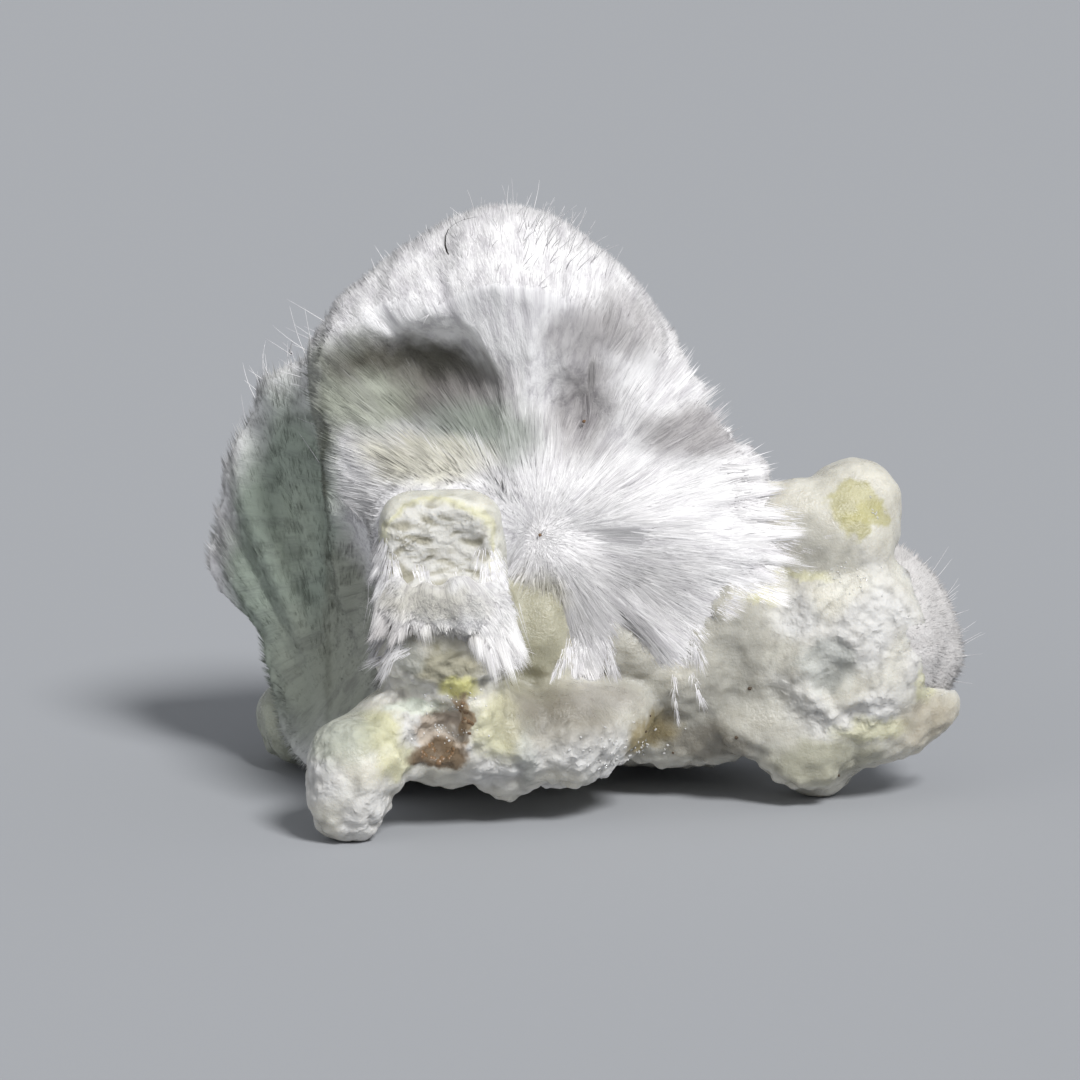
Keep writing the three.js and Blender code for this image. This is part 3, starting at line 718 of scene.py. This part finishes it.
def chalcedony(name):
    """Cloudy translucent stone, matt and white where its crust is knobbly."""
    shader = Shader(name)
    place = shader.place(wander=1.6)
    plain = shader.place()
    relief = shader.add("ShaderNodeAttribute", attribute_name="relief").outputs["Fac"]
    chalk = shader.add("ShaderNodeAttribute", attribute_name="chalk").outputs["Fac"]
    colour = shader.patched(place, shader.mix(chalk, CLOUD, CHALK), CRUST_PATCHES)
    column = shader.patched(place, (0, 0, 0), [((-4.5, -6.4, 12.6), (2.7, 3.0, 2.6), (1, 1, 1), 1.0, 0.2)])
    furrows = shader.sum("MULTIPLY", shader.ramp(relief, -0.9, 0.6, 0.75, 0.0), column)
    colour = shader.mix(furrows, colour, RECESS)
    # Painted shade: the stone is darkened where its relief is low.
    hollow_shade = shader.ramp(relief, -0.7, 0.4, 0.82, 1.04)
    shade = shader.add("ShaderNodeCombineColor", {0: hollow_shade, 1: hollow_shade, 2: hollow_shade}).outputs[0]
    colour = shader.mix(1.0, colour, shade, "MULTIPLY")
    mottle = shader.noise(plain, 1.1, 7.0, 0.6).outputs[0]
    cloudy = shader.mix(shader.ramp(mottle, 0.3, 0.65), (0.84, 0.83, 0.81), (1.03, 1.03, 1.03))
    colour = shader.mix(0.7, colour, cloudy, "MULTIPLY")
    grain = shader.noise(plain, 7.0, 4.0).outputs[0]
    cells = shader.add("ShaderNodeTexVoronoi", {"Vector": place, "Scale": 2.2}, feature="SMOOTH_F1")
    granules = cells.outputs["Distance"]
    lumps = shader.sum("MULTIPLY", shader.sum("SUBTRACT", 1.0, granules), chalk)
    grit = shader.sum("MULTIPLY", grain, shader.ramp(chalk, 0.0, 1.0, 1.0, 0.5))
    gloss = shader.ramp(mottle, 0.3, 0.7, 0.24, 0.42)
    return shader.finish(
        base_color=colour,
        roughness=shader.sum("ADD", gloss, shader.ramp(chalk, 0.0, 1.0, 0.0, 0.4)),
        subsurface_weight=shader.ramp(chalk, 0.0, 1.0, 0.8, 0.3),
        subsurface_scale=1.0 * MM,
        subsurface_radius=(1.0, 0.93, 0.82),
        normal=shader.bump(grit, 0.06, 1.0, shader.bump(lumps, 0.16)),
    )


# Pieces -------------------------------------------------------------------------------------------------

def origins(points):
    """Where the fibres at each point start: in the rear ball behind the seam, or else in the big one."""
    across = np.cross(SEAM[1] - SEAM[0], SEAM[2] - SEAM[0])
    rear = (points - SEAM[0]) @ across < 0
    return np.where(rear[:, None], REAR, BALL)


def twin_body():
    mesh, points = remeshed("twin_puffball")
    points = smoothed(mesh, points, 12)
    spokes = points - origins(points)
    away = unit(spokes)
    outside = (away * normals_of(mesh, points)).sum(axis=1)
    points = smoothed(mesh, points, 90, ramp(0.3, 0.6, outside) * ramp(6.0, 9.0, np.linalg.norm(spokes, axis=1)))
    normals = normals_of(mesh, points)
    grown = ramp(1.0, 9.0, np.linalg.norm(spokes, axis=1))
    bundles = 0.20 * noise(away, 0.2, 1) + 0.16 * noise(away, 0.08, 2) + 0.07 * noise(away, 0.035, 3)
    rear = (origins(points)[:, 0] != 0) * ramp(0.1, 0.6, outside)
    points = points + normals * (grown * bundles + 0.05 * noise(points, 0.8, 4) - 0.05 + 0.25 * rear)[:, None]
    ragged = ramp(0.3, 0.7, outside) * ramp(4.0, 8.0, points[:, 0])
    points = points + away * (ragged * (0.35 * noise(away, 0.06, 5) + 0.15 * noise(points, 0.6, 6)))[:, None]
    return mesh, points, normals_of(mesh, points)


def twin_puffball(random):
    mesh, points, normals = surface = twin_body()
    piece("twin_body", mesh, okenite("okenite_body"), "okenite", "twin_puffball")
    mesh.polygons.foreach_set("use_smooth", np.ones(len(mesh.polygons), bool))
    silk = okenite("okenite_silk", strands=True)

    def is_rear(place):
        return origins(place)[:, 0] != 0

    def outwards(place, normal):
        return (unit(place - origins(place)) * normal).sum(axis=1)

    def spokes(place, normal):
        wall = (ramp(-6.9, -7.7, place[:, 0]) * ramp(14.4, 12.6, place[:, 2]))[:, None]
        return unit((1 - wall) * unit(place - origins(place)) + wall * unit(place - REAR))

    def swept(place, normal):
        sway = np.stack([noise(place, 1.8, 20 + axis) for axis in range(3)], axis=1)
        return unit(spokes(place, normal) + 0.12 * sway)

    def outer(place, normal):
        reach = np.linalg.norm(place - origins(place), axis=1)
        return ramp(0.35, 0.7, outwards(place, normal)) * ramp(7.5, 9.5, reach)

    def front_share(place, normal):
        near = np.linalg.norm(place - BALL, axis=1)
        front = (1 - outer(place, normal)) * ramp(0.3, -0.2, normal[:, 1])
        lip = np.where(place[:, 1] < -4.3, beside_column(place), 1.0)
        return front * lip * ~is_rear(place) * (0.8 + 2.0 * np.exp(-near / 4.0))

    def front_length(place, normal):
        near = np.linalg.norm(place - BALL, axis=1)
        full = 0.35 + 0.9 * ramp(0.0, 4.0, near) * ramp(13.0, 7.0, near)
        return full * (0.4 + 0.6 * beside_column(place))

    below = ramp(0.1, -0.5, normals[:, 2])
    wall = ramp(-5.5, -7.5, points[:, 0]) * ramp(11.5, 13.0, points[:, 2]) * ramp(18.0, 16.0, points[:, 2])
    lit = unit(normals + np.maximum(below, 0.4 * wall)[:, None] * (0.2, -0.4, 0.55))
    silky = (mesh, points, lit)
    fibres = coat("face_fibres", silky, 42000, random, front_share, swept, front_length, 0.02, 0.04, (0.3, 0.15))
    piece("face_fibres", fibres, silk, "okenite", shadow=False)

    def sheaf_share(place, normal):
        low = ramp(7.0, 8.5, place[:, 2])
        flared = ramp(-4.0, -5.5, place[:, 0]) * ramp(17.0, 15.5, place[:, 2])
        clear = low * (1 - flared) * beside_column(place)
        return front_share(place, normal) * clear * ramp(-0.1, 0.5, noise(place, 1.3, 30))

    def sheaf_ways(place, normal):
        sway = np.stack([noise(place, 1.1, 40 + axis) for axis in range(3)], axis=1)
        return unit(spokes(place, normal) + 0.4 * sway)

    def sheaf_length(place, normal):
        return 1.7 * front_length(place, normal)

    sheaves = coat(
        "face_sheaves", silky, 6500, random, sheaf_share, sheaf_ways, sheaf_length, 0.1, 0.05, (0.12, 0.5), 1.9, 0.12
    )
    piece("face_sheaves", sheaves, okenite("okenite_sheaves", strands=True, dimmest=0.8), "okenite", shadow=False)
    brushes = brushed("fan_brushes", FAN_BRUSHES, 200, 0.3, random)
    piece("fan_brushes", brushes, silk, "okenite", shadow=False)

    def crown_share(place, normal):
        return outer(place, normal) * ramp(3.0, 8.0, place[:, 2]) * ramp(0.6, -0.2, normal[:, 1])

    def crown_length(place, normal):
        return 0.2 + 0.26 * ramp(14.0, 26.0, place[:, 2])

    def upright(place, normal):
        return unit(spokes(place, normal) + 0.5 * normal)

    fibres = coat("crown_fibres", surface, 42000, random, crown_share, upright, crown_length, 0.3, 0.1, (0.3, 0.15))
    piece("crown_fibres", fibres, silk, "okenite", shadow=False)

    def back_share(place, normal):
        return outer(place, normal) * ramp(-0.3, 0.4, normal[:, 1])

    fibres = coat("back_fibres", surface, 17000, random, back_share, upright, crown_length, 0.3, 0.12, (0.3, 0.2), 1.4)
    piece("back_fibres", fibres, silk, "okenite", shadow=False)

    def rear_share(place, normal):
        return is_rear(place) * (1 - outer(place, normal)) * ramp(0.3, -0.2, normal[:, 1])

    def rear_length(place, normal):
        return 0.3 + 0.6 * ramp(0.0, 6.0, np.linalg.norm(place - REAR, axis=1))

    fibres = coat("rear_fibres", surface, 15000, random, rear_share, swept, rear_length, 0.02, 0.04, (0.3, 0.15))
    feathers = okenite("okenite_feathers", strands=True, centre=REAR, gaps=DEEP_GAP_SHADE)
    piece("rear_fibres", fibres, feathers, "okenite", shadow=False)
    return outline(mesh, points)


def everywhere(place, normal):
    return np.ones(len(place))


def side_puffball(random):
    mesh, points = remeshed("side_puffball")
    points = smoothed(mesh, points, 60)
    normals = normals_of(mesh, points)
    points = points + normals * (0.12 * noise(points, 1.1, 6))[:, None]
    normals = normals_of(mesh, points)
    mesh.polygons.foreach_set("use_smooth", np.ones(len(mesh.polygons), bool))
    piece("side_body", mesh, okenite("okenite_side", SIDE_TINT, centre=SIDE, gaps=PALE_GAP_SHADE), "okenite", "side_puffball")

    def spokes(place, normal):
        return unit(normal + 0.5 * unit(place - SIDE))

    def length(place, normal):
        return 0.22 + 0.3 * random.random(len(place)) ** 3

    fur = coat("side_fibres", (mesh, points, normals), 12000, random, everywhere, spokes, length, 0.3, 0.15, (0.2, 0.2))
    piece("side_fibres", fur, okenite("okenite_fur", SIDE_TINT, strands=True, centre=SIDE, gaps=PALE_GAP_SHADE), "okenite", shadow=False)
    return outline(mesh, points)


def front_tuft(random):
    mesh, points = remeshed("front_tuft")
    points = smoothed(mesh, points, 10)
    normals = normals_of(mesh, points)
    points = points + normals * (0.18 * noise(points, 0.7, 8))[:, None]
    top = ramp(9.9, 10.8, points[:, 2]) * (0.5 + 0.9 * noise(points * (1, 0.2, 0.2), 0.9, 12))
    points = points + top[:, None] * (0.0, -0.3, 0.7)
    normals = normals_of(mesh, points)
    mesh.polygons.foreach_set("use_smooth", np.ones(len(mesh.polygons), bool))
    piece("tuft_body", mesh, okenite("okenite_tuft", TUFT_TINT_AND_SHADE, centre=TUFT), "okenite", "front_tuft")

    def spokes(place, normal):
        return unit(place - TUFT)

    def length(place, normal):
        middle = ramp(1.9, 0.9, np.abs(place[:, 0] + 4.0))
        top = ramp(9.4, 10.4, place[:, 2])
        return np.maximum(0.9 + 0.4 * noise(place, 1.2, 9) - 0.65 * middle - 0.45 * top, 0.12)

    lit = unit(normals + (0.1, -0.6, 0.7))
    fine = okenite("okenite_tuft_fur", TUFT_TINT_AND_SHADE, strands=True, centre=TUFT)
    fur = coat("tuft_fibres", (mesh, points, lit), 9000, random, everywhere, spokes, length, 0.1, 0.1, (0.05, 0.5))
    piece("tuft_fibres", fur, fine, "okenite", shadow=False)
    brushes = brushed("tuft_brushes", TUFT_BRUSHES, 450, 0.34, random)
    piece("tuft_brushes", brushes, fine, "okenite", shadow=False)


def knobs(points, size, seed):
    bent = points / size + 0.5 * noise(points, 0.9, seed + 1)[:, None]
    return 1.6 * cobbles(bent, 1.0, seed) - 0.7


# Where the crust has its own relief, as (centre, half sizes, kind, size of its grains, depth).
RELIEFS = [
    ((-4.5, -6.4, 12.6), (2.9, 3.0, 2.9), ridges, (1.1, 1.0, 0.42), 0.07),
    ((13.8, -0.8, 7.4), (3.6, 3.0, 4.2), knobs, (0.4, 0.4, 0.38), 0.06),
    ((12.7, -1.2, 6.4), (1.8, 1.5, 1.6), knobs, (1.1, 1.0, 1.0), 0.14),
    ((-8.2, -5.8, 2.8), (2.6, 2.6, 2.8), knobs, (0.9, 0.8, 0.8), 0.11),
    ((-4.0, -5.5, 6.0), (3.4, 3.0, 2.4), knobs, (0.6, 0.6, 0.5), 0.14),
    ((1.0, -3.6, 3.0), (4.5, 3.0, 1.8), knobs, (0.7, 0.7, 0.6), 0.1),
    ((3.0, 12.0, 4.5), (14.0, 5.0, 7.0), knobs, (0.8, 0.8, 0.75), 0.08),
]
# Pits in the front of the crust, as (middle, half sizes, depth). A low rim stands round each.
PITS = [
    ((12.9, -1.0, 6.5), (1.2, 4.0, 1.35), 0.3),
    ((14.1, -1.0, 4.4), (0.8, 4.0, 0.6), 0.2),
]


def matrix_body(twin):
    mesh, points = remeshed("matrix")
    points = smoothed(mesh, points, 34)
    tree = BVHTree.FromPolygons(*twin)
    near = [tree.find_nearest(point) for point in points]
    seat = np.array([tuple(found[0]) for found in near])
    outwards = np.array([tuple(found[1]) for found in near])
    gap = np.array([found[3] for found in near]) * np.sign(((points - seat) * outwards).sum(axis=1))
    beside = ramp(0.9, 0.4, gap) * (gap > -TUCK) * ramp(-4.9, -4.0, points[:, 1])
    points = points + (seat - TUCK * outwards - points) * beside[:, None]
    normals = normals_of(mesh, points)
    relief = 0.35 * noise(points, 0.45, 14)
    depth = np.full(len(points), 0.08)
    chalk = np.zeros(len(points))
    for centre, half, kind, grain, height in RELIEFS:
        here = ramp(1.3, 0.8, np.linalg.norm((points - centre) / half, axis=1))
        grains = kind(points, grain, 13)
        relief = relief + here * (grains + 0.4 * noise(points, 0.4, 15) - relief)
        depth = depth + here * (height - depth)
        chalk = np.maximum(chalk, here)
    chalk = chalk * ramp(-0.5, 0.1, noise(points, 2.4, 17))
    swells = (0.09 + 0.06 * chalk) * noise(points, 1.8, 10) + (0.03 + 0.06 * chalk) * noise(points, 0.8, 11)
    swells += 0.2 * noise(points, 0.6, 19) * ramp(0.1, -0.5, normals[:, 2]) * ramp(0.2, 0.8, points[:, 2])
    for centre, half, height in PITS:
        off = np.linalg.norm((points - centre) / half, axis=1) + 0.5 * noise(points, 0.9, 18)
        swells += (0.3 * height * np.exp(-((off - 1.25) / 0.22) ** 2) - height * ramp(1.1, 0.3, off)) * (normals[:, 1] < 0.2)
    points = points + normals * (swells + depth * relief * (0.35 + 0.65 * chalk))[:, None]
    points[:, 2] = np.maximum(points[:, 2], 0.0)
    put(mesh, points)
    mark(mesh, "relief", relief)
    mark(mesh, "chalk", chalk)
    mesh.polygons.foreach_set("use_smooth", np.ones(len(mesh.polygons), bool))
    return mesh, points


def matrix(twin, random):
    mesh, points = matrix_body(twin)
    piece("matrix_crust", mesh, chalcedony("chalcedony_crust"), "chalcedony", "matrix")

    def thickness(place, normal):
        in_fan = ramp(-2.2, -1.9, place[:, 1]) * ramp(9.0, 4.0, place[:, 1]) * (place[:, 0] > -0.5)
        in_tuft = ramp(-4.0, -4.6, place[:, 1]) * (place[:, 0] < -0.5)
        steep = ramp(-0.2, -0.5, normal[:, 1]) * ramp(0.8, 0.6, normal[:, 2])
        return nearest_spray(place)[0] * steep * (in_fan + in_tuft) + 1e-9

    def away(place, normal):
        return nearest_spray(place)[1]

    def length(place, normal):
        return 0.5 + 0.7 * nearest_spray(place)[0]

    surface = (mesh, points, unit(normals_of(mesh, points) + (0.0, -0.4, 0.5)))
    fibres = coat("fan_fibres", surface, 9000, random, thickness, away, length, 0.06, 0.05, (0.1, 0.3))
    piece("fan_fibres", fibres, okenite("okenite_spray", patches=(), strands=True), "okenite", shadow=False)
    return outline(mesh, points)


# Places on the front of the crust, as (x, z).
SPECKS = [(4.9, 4.6), (4.7, 4.0), (6.0, 2.4), (8.8, 3.4), (13.4, 1.5), (9.4, 5.6)]
SPARKLES = [
    ((3.7, 3.2), (1.1, 0.8), 60, 0.1),
    ((13.4, 10.9), (0.5, 0.25), 12, 0.08),
    ((14.4, 10.4), (0.6, 0.25), 14, 0.08),
    ((16.8, 8.4), (0.5, 0.5), 12, 0.08),
    ((15.0, 13.4), (0.35, 0.3), 8, 0.08),
    ((9.7, 10.1), (0.6, 0.4), 10, 0.07),
    ((-3.9, 6.2), (0.9, 0.25), 12, 0.09),
    ((17.6, 5.6), (0.6, 0.6), 8, 0.07),
]
POCKET = [((-4.5, 3.75), (0.45, 0.18), 16, 0.2), ((-3.3, 5.3), (0.14, 0.45), 14, 0.17)]
FLECKS = [((-3.9, 4.6), (0.7, 0.25), 30, 0.055), ((-3.9, 6.2), (0.8, 0.3), 12, 0.06)]


def on_front(tree, spots):
    """The places on the front of a mesh, and its normals there, that lie at each (x, z)."""
    found = [tree.ray_cast(Vector((x, -30.0, z)), Vector((0.0, 1.0, 0.0))) for x, z in spots]
    found = [hit for hit in found if hit[0] is not None]
    return np.array([tuple(hit[0]) for hit in found]), np.array([tuple(hit[1]) for hit in found])


def clusters(tree, groups, random):
    """Places and sizes of grains in groups, each group given as (middle, half size, count, size of a grain)."""
    spots = [random.normal(size=(count, 2)) * half + middle for middle, half, count, _ in groups]
    places, normals = on_front(tree, np.concatenate(spots))
    sizes = np.concatenate([size * random.uniform(0.5, 1.0, count) for _, _, count, size in groups])
    return places, normals, sizes[:len(places)]


def glassy(name, colour, roughness, transmission):
    """Clear or cloudy crystal, with a little cloud in it."""
    shader = Shader(name)
    cloud = shader.noise(shader.place(), 3.0).outputs[0]
    paler = tuple(min(1.0, 1.4 * part) for part in colour)
    return shader.finish(
        base_color=shader.mix(cloud, colour, paler),
        roughness=roughness,
        ior=1.54,
        transmission_weight=transmission,
    )


def matte(name, colour, darker):
    shader = Shader(name)
    mottle = shader.noise(shader.place(), 8.0).outputs[0]
    return shader.finish(base_color=shader.mix(mottle, darker, colour), roughness=0.7)


def small_crystals(crust, random):
    tree = BVHTree.FromPolygons(*crust)
    places, normals, sizes = clusters(tree, SPARKLES, random)
    mesh = grains("clear_crystals", places, normals, sizes, crystal(), random, 0.0)
    piece("clear_crystals", mesh, glassy("clear_crystal", (0.86, 0.86, 0.84), 0.04, 0.5), "chalcedony")
    places, normals, sizes = clusters(tree, POCKET, random)
    mesh = grains("brown_grains", places, normals, sizes, pebble(0.1, random), random, -0.75)
    piece("brown_grains", mesh, glassy("brown_grain", (0.17, 0.105, 0.055), 0.35, 0.0), "chalcedony")
    places, normals, sizes = clusters(tree, FLECKS, random)
    mesh = grains("white_flecks", places, normals, sizes, pebble(0.25, random), random, 0.0)
    piece("white_flecks", mesh, matte("white_fleck", (0.85, 0.85, 0.84), (0.6, 0.58, 0.55)), "chalcedony")
    places, normals = on_front(tree, SPECKS)
    sizes = random.uniform(0.04, 0.09, len(places))
    mesh = grains("dark_specks", places, normals, sizes, pebble(0.15, random), random)
    piece("dark_specks", mesh, matte("dark_speck", (0.12, 0.08, 0.05), (0.04, 0.03, 0.02)), "chalcedony")


def silk_specks(tree, random):
    places, normals = on_front(tree, SILK_SPECKS)
    mesh = grains("silk_specks", places, normals, np.full(len(places), 0.08), pebble(0.15, random), random, 2.5)
    piece("silk_specks", mesh, matte("silk_speck", (0.24, 0.13, 0.06), (0.08, 0.05, 0.03)), "okenite")


# Long hairs, as (middle of the roots, half size, count, shortest, longest).
HAIRS = [
    ((0.4, 2.0, 26.2), (1.6, 1.5, 0.8), 110, 0.8, 1.7),
    ((-2.5, 2.5, 25.4), (2.2, 2.0, 0.8), 60, 0.4, 0.9),
    ((-5.5, 2.5, 23.6), (2.5, 2.0, 1.5), 45, 0.4, 0.9),
    ((-12.4, 7.5, 17.0), (1.4, 2.5, 2.2), 190, 0.8, 2.4),
    ((-15.0, 7.5, 11.5), (1.0, 3.0, 3.0), 70, 0.4, 1.0),
    ((18.6, 4.0, 7.0), (0.6, 2.0, 2.0), 70, 0.5, 1.6),
]

STRAY_HAIR = {
    "root": (-4.1, 24.8),
    "way": np.array(((-1.2, -1.1, 3.1),)),
    "bend": np.array(((2.5, 0.6, -1.3),)),
    "width": 0.035,
}
SILK_SPECKS = [(0.0, 12.6), (2.1, 17.4), (-3.4, 17.9)]


def long_hairs(tree, random):
    spots = [random.normal(size=(count, 3)) * half + middle for middle, half, count, _, _ in HAIRS]
    found = [tree.find_nearest(Vector(spot)) for spot in np.concatenate(spots)]
    roots = np.array([tuple(hit[0]) for hit in found])
    normals = np.array([tuple(hit[1]) for hit in found])
    ways = unit(normals + (0.0, 0.0, 0.25) + 0.22 * random.normal(size=roots.shape))
    lengths = np.concatenate([random.uniform(low, high, count) for _, _, count, low, high in HAIRS])
    clear = (ways[:, 2] > 0.2) | (np.abs(roots[:, 0]) > 13.5)
    kept = clear & (normals[:, 1] > 0.1) | (roots[:, 2] > 22.0)
    roots, ways, lengths = roots[kept], ways[kept], lengths[kept]
    bends = 0.12 * random.normal(size=roots.shape)
    return strands("long_hairs", roots - 0.1 * ways, ways, bends, lengths, 0.045)


def stray_hair(tree):
    """A short dark hair caught on the crown."""
    roots, _ = on_front(tree, [STRAY_HAIR["root"]])
    return strands("stray_hair", roots, STRAY_HAIR["way"], STRAY_HAIR["bend"], np.ones(1), STRAY_HAIR["width"])


# Stage --------------------------------------------------------------------------------------------------

def floor():
    shader = Shader("floor")
    bpy.ops.mesh.primitive_plane_add(size=4.0)
    plane = bpy.context.object
    plane.name = "floor"
    plane.data.materials.append(shader.finish(base_color=(0.36, 0.37, 0.39), roughness=0.9))


def sun(name, toward, angle, power, colour=(1.0, 1.0, 1.0)):
    """Soft light from far away, as from a wide lamp. It comes from the given direction."""
    lamp = bpy.data.lights.new(name, "SUN")
    lamp.angle = math.radians(angle)
    lamp.energy = power
    lamp.color = colour
    made = bpy.data.objects.new(name, lamp)
    made.rotation_euler = Vector(toward).to_track_quat("Z", "Y").to_euler()
    bpy.context.scene.collection.objects.link(made)


def studio():
    world = bpy.data.worlds.new("studio")
    world.use_nodes = True
    world.node_tree.nodes["Background"].inputs[0].default_value = (0.93, 0.96, 1.0, 1.0)
    world.node_tree.nodes["Background"].inputs[1].default_value = 0.34
    bpy.context.scene.world = world
    sun("key", (0.36, -0.60, 0.71), 16, 3.3)
    sun("fill", (-0.7, -0.6, 0.4), 40, 0.22)
    bpy.context.scene.view_settings.view_transform = "Standard"


def camera():
    lens = bpy.data.cameras.new("camera")
    lens.sensor_width = 36.0
    lens.lens = CAMERA["lens"]
    lens.clip_start = 0.01
    made = bpy.data.objects.new("camera", lens)
    tilt = math.radians(CAMERA["elevation"])
    target = Vector((np.array(CAMERA["target"]) - LAYOUT) * MM)
    back = Vector((0.0, -math.cos(tilt), math.sin(tilt)))
    made.location = target + back * CAMERA["distance"] * MM
    made.rotation_euler = (-back).to_track_quat("-Z", "Y").to_euler()
    bpy.context.scene.collection.objects.link(made)
    bpy.context.scene.camera = made


camera()
studio()
floor()
twin = twin_puffball(np.random.default_rng(31))
side = side_puffball(np.random.default_rng(32))
front_tuft(np.random.default_rng(33))
crust = matrix(twin, np.random.default_rng(36))
small_crystals(crust, np.random.default_rng(34))
balls = BVHTree.FromPolygons(twin[0] + side[0], twin[1] + [[len(twin[0]) + k for k in face] for face in side[1]])
hairs = long_hairs(balls, np.random.default_rng(35))
piece("long_hairs", hairs, okenite("okenite_hair", patches=()), "okenite", shadow=False)
piece("stray_hair", stray_hair(balls), matte("dark_hair", (0.06, 0.05, 0.045), (0.03, 0.025, 0.02)), "okenite")
silk_specks(balls, np.random.default_rng(37))
